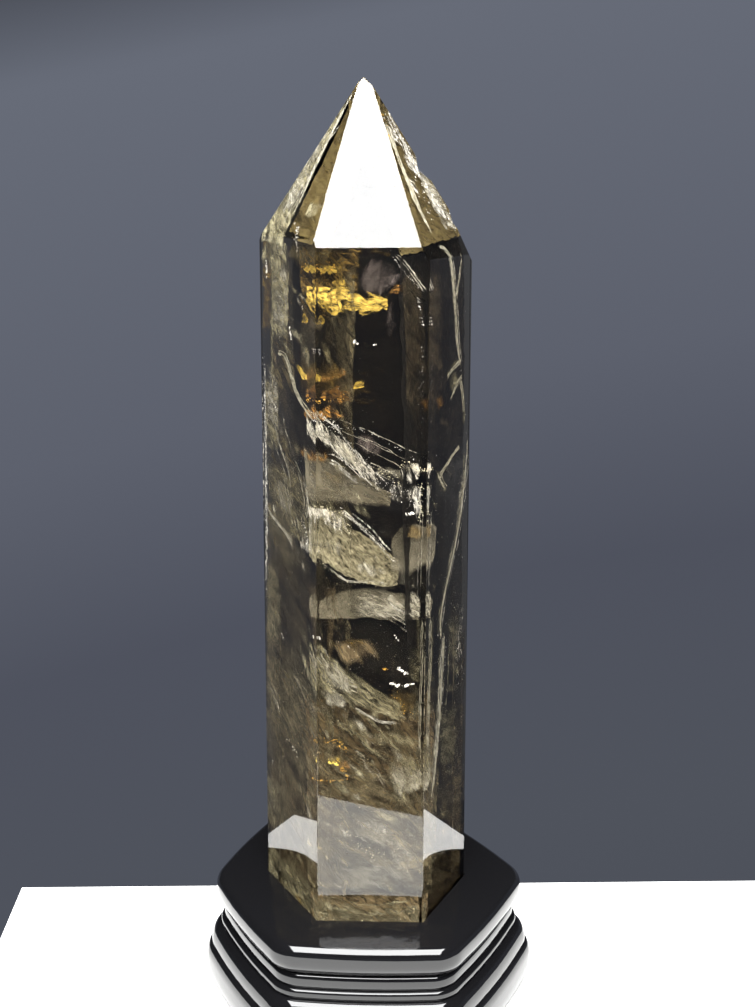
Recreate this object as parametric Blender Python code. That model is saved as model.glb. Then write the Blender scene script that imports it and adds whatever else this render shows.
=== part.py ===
"""A polished six-sided quartz point standing in a carved, lacquered wooden stand.

Metres, +Z up. The origin is in the middle of the stand's underside, and -Y is the
front. Two separate solids: the crystal only rests in the stand's recess.
"""

import math

import bmesh
import bpy
from mathutils import Matrix, Vector

MM = 0.001

# The stand, from its underside up.
STAND_HEIGHT = 36.0 * MM
SLAB_RADIUS = 47.5 * MM  # from the middle to a corner of the top slab
SIDE_BOW = 1.5 * MM  # how far the middle of each side stands out
CORNER_ROUND = 4.5 * MM  # where the rounding of a corner starts, along each side
SIDE_CUTS = 3
CORNER_STEPS = 4
MOULDING_STEPS = 4  # steps in each quarter of a rounded moulding

# Hand carving leaves the six corners a little off a true hexagon (X, Y).
STAND_CORNERS = {
    "left": (-47.8 * MM, -0.5 * MM),
    "front_left": (-25.4 * MM, -41.4 * MM),
    "front_right": (24.5 * MM, -42.9 * MM),
    "right": (48.3 * MM, 0.9 * MM),
    "back_right": (19.2 * MM, 41.8 * MM),
    "back_left": (-28.9 * MM, 41.8 * MM),
}

# Each moulding is round: it leaves its lower crease, stands straight at its widest
# between two heights, and runs in again to its upper crease. Radii are to a corner.
#           low    wide from  to     top    r low  r wide  r top
FOOT = (0.0, 6.0, 8.5, 12.3, 49.2, 51.3, 49.5)
OVOLO = (12.3, 12.8, 13.6, 18.8, 49.2, 49.6, 46.2)
LOWER_BEAD = (18.8, 19.8, 20.6, 21.8, 45.7, 46.4, 45.2)
UPPER_BEAD = (21.8, 23.4, 24.4, 26.2, 44.8, 45.3, 44.0)
SLAB = (26.8, 31.2, 32.8, 36.0, 44.0, 47.5, 44.2)
MOULDINGS = (FOOT, OVOLO, LOWER_BEAD, UPPER_BEAD, SLAB)

# The crystal. Heights are above the stand's top.
RECESS_DEPTH = 8.3 * MM
REST_GAP = 0.3 * MM  # between the crystal's base and the recess floor
RECESS_CLEARANCE = 0.4 * MM  # all round the crystal's foot
BLANK_RADIUS = 45.0 * MM
BLANK_HEIGHT = 270.0 * MM

# One entry for each side of the crystal: which way it faces, its distance from the
# axis at the stand's top, and its lean inwards. Then, for the end face above it:
# which way it faces, its height above the stand on that line, and its lean.
#                facing  distance  lean   end facing  end height  end lean
SIDES = {
    "front": (-91.5, 27.3, 0.35, -91.9, 195.8, 31.5),
    "front_right": (-27.2, 26.9, 0.21, -25.3, 191.6, 29.3),
    "back_right": (28.5, 25.35, 0.57, 28.5, 195.3, 30.5),
    "back": (88.6, 26.5, 0.35, 88.6, 195.8, 32.0),
    "back_left": (154.0, 28.5, 0.12, 154.0, 194.2, 32.0),
    "front_left": (210.3, 26.2, 0.42, 208.6, 196.7, 28.8),
}

# A steeper natural face takes off the right corner below the end faces.
SHOULDER_FACING = 0.0
SHOULDER_LEAN = 25.3
SHOULDER_POINT = Vector((19.9 * MM, 0.0, 206.6 * MM))

# Shallow growth ledges cross the ridge at the right of the point, and its shoulder:
# the deepest point of each, how deep and how tall it is, its tilt and its turn.
LEDGE_LENGTH = 30.0 * MM
LEDGES = {
    "ridge": ((13.2, -1.0, 213.4), 1.1, 6.0, 31.0, 0.0),
    "shoulder": ((22.4, -1.0, 199.6), 0.6, 4.4, 26.0, 6.0),
}


def clear_scene():
    for thing in list(bpy.data.objects):
        bpy.data.objects.remove(thing)


def new_collection(name):
    collection = bpy.data.collections.new(name)
    bpy.context.scene.collection.children.link(collection)
    return collection


def new_object(name, bm, collection, material=None):
    bmesh.ops.recalc_face_normals(bm, faces=bm.faces)
    mesh = bpy.data.meshes.new(name)
    bm.to_mesh(mesh)
    bm.free()
    thing = bpy.data.objects.new(name, mesh)
    collection.objects.link(thing)
    if material:
        mesh.materials.append(material)
    return thing


def hide_cutter(cutter):
    cutter.hide_render = True
    cutter.display_type = "WIRE"


def subtract(thing, cutter):
    cut = thing.modifiers.new("Cut " + cutter.name, "BOOLEAN")
    cut.operation = "DIFFERENCE"
    cut.solver = "EXACT"
    cut.object = cutter


def outward(facing, lean=0.0):
    """The unit normal of a face that looks along `facing` and leans inwards."""
    around = math.radians(facing)
    up = math.radians(lean)
    flat = math.cos(up)
    return Vector((flat * math.cos(around), flat * math.sin(around), math.sin(up)))


def smoky_quartz():
    material = bpy.data.materials.new("smoky_quartz")
    material.use_nodes = True
    shader = material.node_tree.nodes["Principled BSDF"]
    shader.inputs["Base Color"].default_value = (0.42, 0.36, 0.22, 1.0)
    shader.inputs["Roughness"].default_value = 0.02
    shader.inputs["IOR"].default_value = 1.544
    shader.inputs["Transmission Weight"].default_value = 1.0
    return material


def black_lacquer():
    material = bpy.data.materials.new("black_lacquer")
    material.use_nodes = True
    shader = material.node_tree.nodes["Principled BSDF"]
    shader.inputs["Base Color"].default_value = (0.008, 0.008, 0.009, 1.0)
    shader.inputs["Roughness"].default_value = 0.12
    shader.inputs["Coat Weight"].default_value = 1.0
    return material


def stand_outline(bm):
    """A flat face at the slab's size: six bowed sides with rounded corners."""
    bmesh.ops.create_circle(bm, cap_ends=True, segments=6, radius=SLAB_RADIUS)
    places = sorted(STAND_CORNERS.values(), key=bearing)
    for vert, place in zip(sorted(bm.verts, key=lambda vert: bearing(vert.co)), places):
        vert.co.xy = place
    bmesh.ops.subdivide_edges(bm, edges=bm.edges[:], cuts=SIDE_CUTS)
    for edge_start, edge_end in zip(places, places[1:] + places[:1]):
        bow_side(bm, Vector((*edge_start, 0.0)), Vector((*edge_end, 0.0)))
    sharp = [vert for vert in bm.verts if is_corner(vert, places)]
    bmesh.ops.bevel(
        bm,
        geom=sharp,
        offset=CORNER_ROUND,
        segments=CORNER_STEPS,
        profile=0.5,
        affect="VERTICES",
    )


def bearing(place):
    return math.atan2(place[1], place[0])


def is_corner(vert, places):
    return any((vert.co.xy - Vector(place)).length < 0.1 * MM for place in places)


def bow_side(bm, start, end):
    """Moves the points between two corners outwards along a shallow curve."""
    along = end - start
    out = Vector((along.y, -along.x, 0.0)).normalized()
    for vert in bm.verts:
        part = (vert.co - start).dot(along) / along.length_squared
        off_line = abs((vert.co - start).dot(out))
        if 0.01 < part < 0.99 and off_line < 0.1 * MM:
            vert.co += out * SIDE_BOW * 4.0 * part * (1.0 - part)


def moulding_rings(low, wide_from, wide_to, top, r_low, r_wide, r_top):
    """Points (radius, height) up one round moulding: two quarter ellipses."""
    turns = [0.5 * math.pi * step / MOULDING_STEPS for step in range(MOULDING_STEPS + 1)]
    rings = []
    for turn in turns:
        radius = r_low + (r_wide - r_low) * math.sin(turn)
        rings.append((radius * MM, (wide_from - (wide_from - low) * math.cos(turn)) * MM))
    for turn in turns:
        radius = r_top + (r_wide - r_top) * math.cos(turn)
        rings.append((radius * MM, (wide_to + (top - wide_to) * math.sin(turn)) * MM))
    return rings


def stand_block():
    """The outline is drawn up through every ring of the mouldings."""
    bm = bmesh.new()
    stand_outline(bm)
    rings = [ring for moulding in MOULDINGS for ring in moulding_rings(*moulding)]
    radius, height = rings[0]
    first = radius / SLAB_RADIUS
    bmesh.ops.scale(bm, vec=(first, first, 1.0), verts=bm.verts[:])
    underside = bm.faces[:][0]
    face = underside
    for next_radius, next_height in rings[1:]:
        raised = bmesh.ops.extrude_face_region(bm, geom=[face])["geom"]
        if face is not underside:
            bmesh.ops.delete(bm, geom=[face], context="FACES_ONLY")
        verts = [item for item in raised if isinstance(item, bmesh.types.BMVert)]
        face = next(item for item in raised if isinstance(item, bmesh.types.BMFace))
        grow = next_radius / radius
        bmesh.ops.scale(bm, vec=(grow, grow, 1.0), verts=verts)
        bmesh.ops.translate(bm, vec=(0.0, 0.0, next_height - height), verts=verts)
        radius, height = next_radius, next_height
    return bm


def grind_flat(bm, point, normal):
    """Takes off everything beyond a plane and leaves one flat face there."""
    geometry = bm.verts[:] + bm.edges[:] + bm.faces[:]
    cut = bmesh.ops.bisect_plane(
        bm, geom=geometry, dist=1e-7, plane_co=point, plane_no=normal, clear_outer=True
    )
    rim = [item for item in cut["geom_cut"] if isinstance(item, bmesh.types.BMEdge)]
    bmesh.ops.holes_fill(bm, edges=rim)


def prism(bottom, top, grow=0.0):
    """The crystal's six sides between two heights above the stand, grown by `grow`."""
    bm = bmesh.new()
    bmesh.ops.create_cone(
        bm,
        cap_ends=True,
        segments=24,
        radius1=BLANK_RADIUS,
        radius2=BLANK_RADIUS,
        depth=top - bottom,
    )
    bmesh.ops.translate(bm, vec=(0.0, 0.0, 0.5 * (top + bottom)), verts=bm.verts[:])
    for facing, distance, lean, *_ in SIDES.values():
        point = outward(facing) * (distance * MM + grow)
        grind_flat(bm, point, outward(facing, lean))
    return bm


def end_faces(bm):
    """The six faces of the point, then the steeper one at its right shoulder."""
    for facing, distance, lean, end_facing, end_height, end_lean in SIDES.values():
        height = end_height * MM
        reach = distance * MM - height * math.tan(math.radians(lean))
        point = outward(end_facing) * reach + Vector((0.0, 0.0, height))
        grind_flat(bm, point, outward(end_facing, end_lean))
    grind_flat(bm, SHOULDER_POINT, outward(SHOULDER_FACING, SHOULDER_LEAN))


def ledge_cutter(name, place, depth, height, tilt, turn, collection):
    """A bar of diamond section whose blunt inner edge lies at the ledge's bottom."""
    bm = bmesh.new()
    reach = 3.0 * depth * MM
    bmesh.ops.create_cone(
        bm,
        cap_ends=True,
        segments=4,
        radius1=1.0,
        radius2=1.0,
        depth=LEDGE_LENGTH,
        matrix=Matrix.Rotation(math.radians(90.0), 4, "X"),
    )
    bmesh.ops.scale(bm, vec=(reach, 1.0, 1.5 * height * MM), verts=bm.verts[:])
    bmesh.ops.translate(bm, vec=(reach, 0.0, 0.0), verts=bm.verts[:])
    cutter = new_object("ledge_cutter_" + name, bm, collection)
    cutter.location = Vector(place) * MM + Vector((0.0, 0.0, STAND_HEIGHT))
    cutter.rotation_euler = (0.0, -math.radians(tilt), math.radians(turn))
    hide_cutter(cutter)
    return cutter


def make_crystal(parts, cutters):
    bm = prism(REST_GAP - RECESS_DEPTH, BLANK_HEIGHT)
    end_faces(bm)
    crystal = new_object("crystal_point", bm, parts, smoky_quartz())
    crystal.location.z = STAND_HEIGHT
    for name, ledge in LEDGES.items():
        subtract(crystal, ledge_cutter(name, *ledge, cutters))
    return crystal


def make_stand(parts, cutters):
    stand = new_object("display_stand", stand_block(), parts, black_lacquer())
    above = 5.0 * MM
    recess = new_object("recess_cutter", prism(-RECESS_DEPTH, above, RECESS_CLEARANCE), cutters)
    recess.location.z = STAND_HEIGHT
    hide_cutter(recess)
    subtract(stand, recess)
    stand.data.shade_smooth()
    stand.data.set_sharp_from_angle(angle=math.radians(40.0))
    return stand


def main():
    clear_scene()
    parts = new_collection("crystal_point_on_stand")
    cutters = new_collection("cutters")
    make_crystal(parts, cutters)
    make_stand(parts, cutters)


main()
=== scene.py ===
"""A polished smoky citrine point in its black-lacquered stand, dressed for rendering."""

import math
import random

import bmesh
import bpy
from mathutils import Euler, Matrix, Vector, noise


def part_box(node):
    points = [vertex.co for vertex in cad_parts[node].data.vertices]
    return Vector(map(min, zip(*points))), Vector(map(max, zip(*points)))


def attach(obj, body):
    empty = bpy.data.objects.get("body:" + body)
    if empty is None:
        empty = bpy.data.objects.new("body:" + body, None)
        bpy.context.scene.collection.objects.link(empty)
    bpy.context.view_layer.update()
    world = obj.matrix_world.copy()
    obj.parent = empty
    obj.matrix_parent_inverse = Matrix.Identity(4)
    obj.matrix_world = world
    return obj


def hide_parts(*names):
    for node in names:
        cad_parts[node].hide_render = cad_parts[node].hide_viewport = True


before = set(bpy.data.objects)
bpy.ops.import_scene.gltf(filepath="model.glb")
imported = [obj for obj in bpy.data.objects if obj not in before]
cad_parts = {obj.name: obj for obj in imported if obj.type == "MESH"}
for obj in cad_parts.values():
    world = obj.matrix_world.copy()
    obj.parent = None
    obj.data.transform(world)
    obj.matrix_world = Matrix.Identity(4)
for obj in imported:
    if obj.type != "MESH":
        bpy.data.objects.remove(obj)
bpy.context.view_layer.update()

MM = 0.001

# ---- Places read from the frame ------------------------------------------------------

STAND_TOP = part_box("display_stand")[1].z
POINT_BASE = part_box("crystal_point")[0].z


def above_stand(x, y, z):
    """A place given in millimetres, with its height counted from the stand's top."""
    return Vector((x * MM, y * MM, z * MM + STAND_TOP))


# ---- Hand tools ----------------------------------------------------------------------


def deselect_all():
    if bpy.context.mode != "OBJECT":
        bpy.ops.object.mode_set(mode="OBJECT")
    bpy.ops.object.select_all(action="DESELECT")


def name_piece(name):
    piece = bpy.context.object
    piece.name = name
    piece.data.name = name
    return piece


def make_active(piece):
    deselect_all()
    piece.select_set(True)
    bpy.context.view_layer.objects.active = piece


def edit(piece):
    make_active(piece)
    bpy.ops.object.mode_set(mode="EDIT")


def finish_edit():
    bpy.ops.object.mode_set(mode="OBJECT")


def select_verts(piece, test):
    """Selects the points of a piece in edit mode that pass a test."""
    bpy.ops.mesh.select_all(action="DESELECT")
    bm = bmesh.from_edit_mesh(piece.data)
    for vert in bm.verts:
        vert.select_set(test(vert))
    bm.select_flush_mode()
    bmesh.update_edit_mesh(piece.data)


def apply_place(piece):
    make_active(piece)
    bpy.ops.object.transform_apply(location=True, rotation=True, scale=True)


def apply_modifier(piece, kind, **settings):
    make_active(piece)
    modifier = piece.modifiers.new(kind.title(), kind)
    for key, value in settings.items():
        setattr(modifier, key, value)
    bpy.ops.object.modifier_apply(modifier=modifier.name)


def join(pieces, name):
    deselect_all()
    for piece in pieces:
        piece.select_set(True)
    bpy.context.view_layer.objects.active = pieces[0]
    if len(pieces) > 1:
        bpy.ops.object.join()
    return name_piece(name)


def put_in_place(piece, slot, material, *stands_for):
    piece.data.materials.clear()
    piece.data.materials.append(material)
    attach(piece, "root")
    if stands_for:
        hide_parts(*stands_for)


# ---- Materials -----------------------------------------------------------------------


def new_material(name):
    material = bpy.data.materials.new(name)
    material.use_nodes = True
    material.node_tree.nodes.clear()
    return material, material.node_tree


def node(tree, kind, **values):
    """A new node; each value goes to the input of that name, or else to the setting."""
    made = tree.nodes.new(kind)
    for key, value in values.items():
        if key in made.inputs:
            made.inputs[key].default_value = value
        else:
            setattr(made, key, value)
    return made


def wire(tree, *wires):
    """Joins nodes up: each wire is a node, its output, the next node and its input."""
    for source, output, target, socket in wires:
        tree.links.new(source.outputs[output], target.inputs[socket])


QUARTZ_IOR = 1.544
SMOKY_TINT = (0.52, 0.46, 0.32, 1.0)
SMOKY_DENSITY = 60.0
SHADOW_TINT = (0.88, 0.86, 0.81, 1.0)  # what lamp light keeps on its way through a face


def citrine_glass():
    """Clear glass with a smoky body; shadow rays pass it, so that the lamp lights the inside."""
    material, tree = new_material("smoky_citrine")
    out = node(tree, "ShaderNodeOutputMaterial")
    glass = node(tree, "ShaderNodeBsdfPrincipled", Roughness=0.0, IOR=QUARTZ_IOR)
    glass.inputs["Base Color"].default_value = (1.0, 1.0, 1.0, 1.0)
    glass.inputs["Transmission Weight"].default_value = 1.0
    ray_kind = node(tree, "ShaderNodeLightPath")
    clear = node(tree, "ShaderNodeBsdfTransparent", Color=SHADOW_TINT)
    mix = node(tree, "ShaderNodeMixShader")
    body = node(tree, "ShaderNodeVolumeAbsorption", Color=SMOKY_TINT, Density=SMOKY_DENSITY)
    wire(
        tree,
        (ray_kind, "Is Shadow Ray", mix, 0),
        (glass, 0, mix, 1),
        (clear, 0, mix, 2),
        (mix, 0, out, "Surface"),
        (body, 0, out, "Volume"),
    )
    return material


def black_lacquer():
    """Polished black lacquer with a faint unevenness left by the brush."""
    material, tree = new_material("black_lacquer")
    out = node(tree, "ShaderNodeOutputMaterial")
    coat = node(tree, "ShaderNodeBsdfPrincipled", Roughness=0.06, IOR=1.52)
    coat.inputs["Base Color"].default_value = (0.004, 0.004, 0.0045, 1.0)
    place = node(tree, "ShaderNodeTexCoord")
    brush = node(tree, "ShaderNodeTexNoise", Scale=90.0, Detail=3.0)
    uneven = node(tree, "ShaderNodeBump", Strength=0.12, Distance=0.0012)
    wire(
        tree,
        (place, "Object", brush, "Vector"),
        (brush, "Fac", uneven, "Height"),
        (uneven, "Normal", coat, "Normal"),
        (coat, 0, out, "Surface"),
    )
    return material


# ---- The crystal ---------------------------------------------------------------------

# Each side: its facing, distance from the middle and lean, then the facing of its end
# face, how high that starts and how far it leans. Degrees, and millimetres above the stand.
SIDES = {
    "front": (-91.5, 27.3, 0.35, -91.9, 195.8, 31.5),
    "front_right": (-27.2, 26.9, 0.21, -25.3, 191.6, 29.3),
    "back_right": (28.5, 25.35, 0.57, 28.5, 195.3, 30.5),
    "back": (88.6, 26.5, 0.35, 88.6, 195.8, 32.0),
    "back_left": (154.0, 28.5, 0.12, 154.0, 194.2, 32.0),
    "front_left": (210.3, 26.2, 0.42, 208.6, 196.7, 28.8),
}
SHOULDER = (0.0, 25.3, (19.9, 0.0, 206.6))  # facing, lean and a place on it
# Each growth ledge: its place, how deep and how high it is, its tilt and its turn.
LEDGES = {
    "ridge": ((13.2, -1.0, 213.4), 1.1, 6.0, 31.0, 0.0),
    "shoulder": ((22.4, -1.0, 199.6), 0.6, 4.4, 26.0, 6.0),
}
BLANK_RADIUS = 45.0
BLANK_HEIGHT = 280.0
LEDGE_BAR_LENGTH = 30.0
EDGE_WEAR = 0.25
WORN_OVER = 8.0  # degrees between faces


def outward(facing, lean=0.0):
    """The way a face looks: its bearing and how far it leans up, in degrees."""
    around = math.radians(facing)
    up = math.radians(lean)
    flat = math.cos(up)
    return Vector((flat * math.cos(around), flat * math.sin(around), math.sin(up)))


def facets(grow=0.0):
    """Every ground face of the point: a spot on it and the way it looks."""
    planes = []
    for facing, distance, lean, *_ in SIDES.values():
        spot = outward(facing) * (distance * MM + grow) + Vector((0.0, 0.0, STAND_TOP))
        planes.append((spot, outward(facing, lean)))
    for _, distance, lean, facing, height, end_lean in SIDES.values():
        reach = distance * MM - height * MM * math.tan(math.radians(lean))
        normal = outward(facing, end_lean)
        spot = outward(facing) * reach + Vector((0.0, 0.0, height * MM + STAND_TOP))
        planes.append((spot + normal * grow, normal))
    facing, lean, place = SHOULDER
    normal = outward(facing, lean)
    planes.append((above_stand(*place) + normal * grow, normal))
    return planes


def behind(face, across, height, depth):
    """The place `depth` behind a face, seen square on: millimetres in, metres out."""
    facing, distance, lean, end_facing, end_height, end_lean = SIDES[face.removesuffix("_end")]
    reach = distance - height * math.tan(math.radians(lean))
    if face.endswith("_end"):
        facing = end_facing
        reach = distance - end_height * math.tan(math.radians(lean))
        reach -= (height - end_height) * math.tan(math.radians(end_lean))
    out = outward(facing)
    flat = out * (reach - depth) + Vector((-out.y, out.x, 0.0)) * across
    return above_stand(flat.x, flat.y, height)


def grind(spot, normal, fill=True):
    bpy.ops.mesh.select_all(action="SELECT")
    bpy.ops.mesh.bisect(
        plane_co=spot, plane_no=normal, use_fill=fill, clear_outer=True, threshold=1e-7
    )


def ground_blank(name, bottom, height, planes):
    """A round blank, wider than the crystal, ground down to a set of faces."""
    deselect_all()
    middle = (0.0, 0.0, bottom + 0.5 * height)
    bpy.ops.mesh.primitive_cylinder_add(
        vertices=24, radius=BLANK_RADIUS * MM, depth=height, location=middle
    )
    blank = name_piece(name)
    apply_place(blank)
    edit(blank)
    for spot, normal in planes:
        grind(spot, normal)
    finish_edit()
    return blank


def ledge_bar(name, place, depth, height, tilt, turn):
    """A bar with a sharp edge, which is cut out of the crystal to leave a ledge."""
    reach = 3.0 * depth * MM
    deselect_all()
    bpy.ops.mesh.primitive_cylinder_add(
        vertices=4, radius=1.0, depth=LEDGE_BAR_LENGTH * MM, rotation=(math.radians(90.0), 0.0, 0.0)
    )
    bar = name_piece("ledge_bar_" + name)
    apply_place(bar)
    edit(bar)
    bpy.ops.mesh.select_all(action="SELECT")
    bpy.ops.transform.resize(value=(reach, 1.0, 1.5 * height * MM))
    bpy.ops.transform.translate(value=(reach, 0.0, 0.0))
    finish_edit()
    bar.rotation_euler = (0.0, -math.radians(tilt), math.radians(turn))
    bar.location = above_stand(*place)
    return bar


def make_crystal():
    crystal = ground_blank("citrine_point", POINT_BASE, BLANK_HEIGHT * MM, facets())
    for name, ledge in LEDGES.items():
        bar = ledge_bar(name, *ledge)
        apply_modifier(crystal, "BOOLEAN", operation="DIFFERENCE", solver="EXACT", object=bar)
        bpy.data.objects.remove(bar)
    apply_modifier(
        crystal, "BEVEL", width=EDGE_WEAR * MM, segments=2, limit_method="ANGLE",
        angle_limit=math.radians(WORN_OVER), harden_normals=False,
    )
    put_in_place(crystal, "crystal", citrine_glass(), "crystal_point")


# ---- Cracks, seams and glitter inside the crystal ------------------------------------
#
# Places are (across, up) in millimetres on a face seen square on; depths are behind it.

CRACKS, SEAMS, GLITTER = [], [], []
SINK = 2.0  # how much deeper the top of a crack lies than its foot
SQUARE_FROM = 19.5  # cracks this wide or tall keep square ends
POINTED = 0.65  # how much narrower the others are at their ends


def crack(
    finish, face, spot, size, depth,
    slant=0.0, taper=1.0, crown=0.0, sag=0.0, soft=0.25, cover=1.0, pointed=None,
):
    """A healed crack about its middle: its right end is `taper` as tall as its left.

    `crown` and `sag` bow its upper and lower edge. `soft` is how far it wears in from the
    left, the right, above and below, and `cover` is how dense it is.
    """
    (across, up), (wide, tall) = spot, size
    slope = math.radians(slant)
    if pointed is None:
        pointed = 0.0 if max(wide, tall) > SQUARE_FROM else POINTED
    upper, lower = [], []
    for part in (-1.0, -0.6, 0.0, 0.6, 1.0):
        along = 0.5 * wide * part
        place = (across + along * math.cos(slope), up + along * math.sin(slope))
        middle = 1.0 - part * part
        half = 0.5 * tall * (1.0 + (taper - 1.0) * (part + 1.0) / 2.0)
        half *= 1.0 - pointed * part * part
        upper.append((place[0], place[1] + half + crown * middle))
        lower.append((place[0], place[1] - half - sag * middle))
    fades = soft if isinstance(soft, tuple) else (soft,) * 4
    CRACKS.append((finish, face, (depth + SINK, depth), upper, lower, fades, cover))


def seam(finish, face, depth, path, count, spread, width, cover=1.0):
    """A bundle of threads along a path: how many, how far apart and how wide."""
    SEAMS.append((finish, face, depth, path, count, spread, width, cover))


def glitter(finish, face, depth, path, count, stray, sizes):
    """Flakes strewn along a path: how many, how far they stray, least and greatest size."""
    GLITTER.append((finish, face, depth, path, count, stray, sizes))


def fringed_seam(face, depth, path, width):
    """A cream seam over a soft milky backing, with fine bright threads at its sides."""
    seam("milk", face, depth + 0.6, path, 2, 0.2 * width, width, 0.6)
    seam("seam", face, depth, path, 4, 0.25 * width, 0.7)
    seam("milkolive", face, depth, path, 4, 0.5 * width, 0.6, 0.9)
    seam("scratch", face, depth - 0.5, path, 3, 0.45 * width, 0.35, 0.9)
    glitter("white", face, depth - 0.5, path, 30, 0.5 * width, (0.15, 0.45))


def gold_foil():
    """Bright foil high in the crystal, with amber around it."""
    crack(
        "gold", "front", (-4, 181), (19, 9), 9,
        slant=-5, taper=0.7, sag=1, soft=(0.05, 0.02, 0.1, 0.25), pointed=0.3,
    )
    crack("gold", "front", (-7, 185), (5, 6), 11)
    crack("gold", "front", (-10, 189), (7, 4), 12)
    crack("gold", "front", (1, 179), (9, 5), 10, slant=12, soft=(0.3, 0.05, 0.1, 0.3), cover=0.9)
    crack("gold", "front_left", (8, 180), (11, 6), 8, slant=-15, soft=(0.25, 0.05, 0.1, 0.2))
    crack("gold", "front_left", (7, 189), (11, 3), 8)
    crack("amber", "front", (-7, 187), (13, 14), 14, soft=(0.0, 0.2, 0.0, 0.3), cover=1.6, pointed=0.0)
    crack("amber", "front", (3, 193), (8, 3), 13, cover=0.9)
    crack("amber", "front_left", (5, 183), (14, 22), 9, soft=(0.3, 0.05, 0.0, 0.3), cover=1.5, pointed=0.2)
    glitter("gold", "front", 11, [(-13, 189), (-7, 188)], 20, 1.4, (0.3, 1.0))
    glitter("gold", "front_left", 8, [(2, 189), (12, 190)], 14, 1.1, (0.3, 0.9))
    glitter("gold", "front_left", 8, [(6, 180), (12, 182)], 12, 1.1, (0.3, 0.9))


def lilac_haze():
    """A lilac haze beside the foil, its bright rim, and an arc of sparks."""
    crack("lilac", "front", (3, 187), (13, 12), 12, cover=1.1)
    crack("lilac", "front", (8, 187), (7, 5), 9, cover=2.0)
    crack("lilac", "front", (6, 176), (5, 12), 11, soft=0.35, cover=1.4)
    crack("ember", "front", (8, 184), (6, 3), 8, slant=15, cover=0.9)
    seam("scratch", "front", 6, [(7, 194), (10, 191), (13, 187), (16, 183)], 3, 0.4, 0.35, 0.8)
    glitter("white", "front", 6, [(7, 193), (11, 188), (15, 184)], 38, 0.25, (0.2, 0.55))
    glitter("white", "front_right", 4, [(-15, 183), (-14, 180), (-12, 175)], 26, 0.4, (0.2, 0.6))


def copper_patches():
    """Copper and amber patches under the foil."""
    crack("gold", "front_left", (3, 161), (9, 5), 6, slant=-22)
    crack("gold", "front_left", (4, 175), (5, 7), 7, cover=0.9)
    crack("gold", "front", (-2, 158), (5, 4), 12, slant=20, soft=0.3, cover=0.75)
    crack("ember", "front", (-9, 161), (9, 5), 13, slant=14, cover=0.7)
    crack("ember", "front", (-8, 155), (12, 7), 12, cover=0.85)
    crack("ember", "front", (-9, 151), (8, 6), 8, soft=(0.0, 0.2, 0.3, 0.3), cover=0.9)
    crack("ember", "front", (3, 151), (7, 13), 13, soft=0.5, cover=0.45)
    crack("ember", "front_left", (8, 150), (9, 5), 5, cover=0.9)
    crack("amber", "front", (-3, 158), (21, 20), 15, soft=(0.0, 0.5, 0.4, 0.3), cover=0.8)
    crack("amber", "front_left", (5, 161), (13, 15), 9, soft=(0.2, 0.0, 0.4, 0.2), cover=0.9)
    glitter("gold", "front", 10, [(-13, 154), (-5, 155)], 22, 1.1, (0.3, 0.8))
    glitter("white", "front", 6, [(-3, 171), (-2, 170)], 8, 0.4, (0.4, 0.9))
    glitter("white", "front", 6, [(2, 170), (3, 170)], 4, 0.3, (0.3, 0.7))
    glitter("white", "front_left", 6, [(4, 179), (4, 177)], 8, 0.3, (0.2, 0.5))
    glitter("white", "front", 6, [(15, 167), (15, 160), (15, 144)], 14, 0.3, (0.15, 0.4))


def white_band():
    """The white band that slants across the middle, over a smooth beige zone."""
    crack("frost", "front", (-4, 139), (28, 6), 7, slant=-42, soft=(0.02, 0.3, 0.1, 0.1), cover=1.1)
    crack("milk", "front", (-7, 141), (19, 9), 6, slant=-35, taper=0.4, soft=(0.0, 0.3, 0.1, 0.4))
    crack("haze", "front", (-4, 130), (22, 16), 9, slant=-18, taper=0.25, soft=(0, 0, 0.1, 0.2), cover=0.75)
    crack("milk", "front", (-8, 130), (13, 11), 9, soft=0.35, cover=0.6)
    crack("amber", "front", (-9, 133), (9, 6), 8, slant=-20, soft=0.35, cover=0.4)
    top = [(-14, 151), (-10, 149), (-5, 143), (0, 137), (7, 130)]
    seam("frost", "front", 5, top, 4, 1.4, 0.5)
    seam("frost", "front", 4.5, [(-14, 139), (-9, 139), (-4, 135), (6, 127)], 3, 0.9, 0.5, 0.9)
    glitter("white", "front", 5, top, 80, 1.7, (0.15, 0.5))


def threads_above_the_band():
    """Fine threads that run down to the glitter at the band's right end."""
    seam("scratch", "front", 7, [(-10, 149), (2, 144), (15, 138)], 2, 0.8, 0.28, 0.9)
    seam("scratch", "front", 8, [(-5, 144), (5, 139), (15, 133)], 2, 1.3, 0.28, 0.8)
    seam("scratch", "front", 8, [(-1, 138), (10, 133)], 3, 1.2, 0.35, 0.9)
    crack("lilac", "front", (0, 142), (11, 6), 10, slant=-20, soft=0.35, cover=1.2)
    crack("milk", "front", (6, 135), (9, 4), 7, slant=-15, cover=0.8)
    crack("frost", "front", (12, 135), (7, 8), 6, cover=0.9)
    crack("frost", "front", (10, 129), (10, 8), 8, cover=0.55)
    crack("frost", "front", (14, 127), (3, 13), 4, cover=0.8)
    glitter("white", "front", 5, [(-9, 148), (2, 146), (15, 138)], 40, 0.45, (0.15, 0.5))
    glitter("cream", "front", 5, [(10, 138), (15, 136)], 70, 1.4, (0.25, 0.8))
    glitter("cream", "front", 6, [(3, 136), (10, 132)], 40, 1.1, (0.2, 0.7))
    glitter("white", "front", 6, [(7, 131), (11, 129), (14, 127)], 70, 2.2, (0.15, 0.5))
    glitter("cream", "front", 3.5, [(15, 133), (15, 127), (15, 122)], 50, 0.8, (0.25, 0.7))
    glitter("bright", "front", 4, [(11, 124), (13, 124)], 16, 0.4, (0.5, 1.2))


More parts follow.
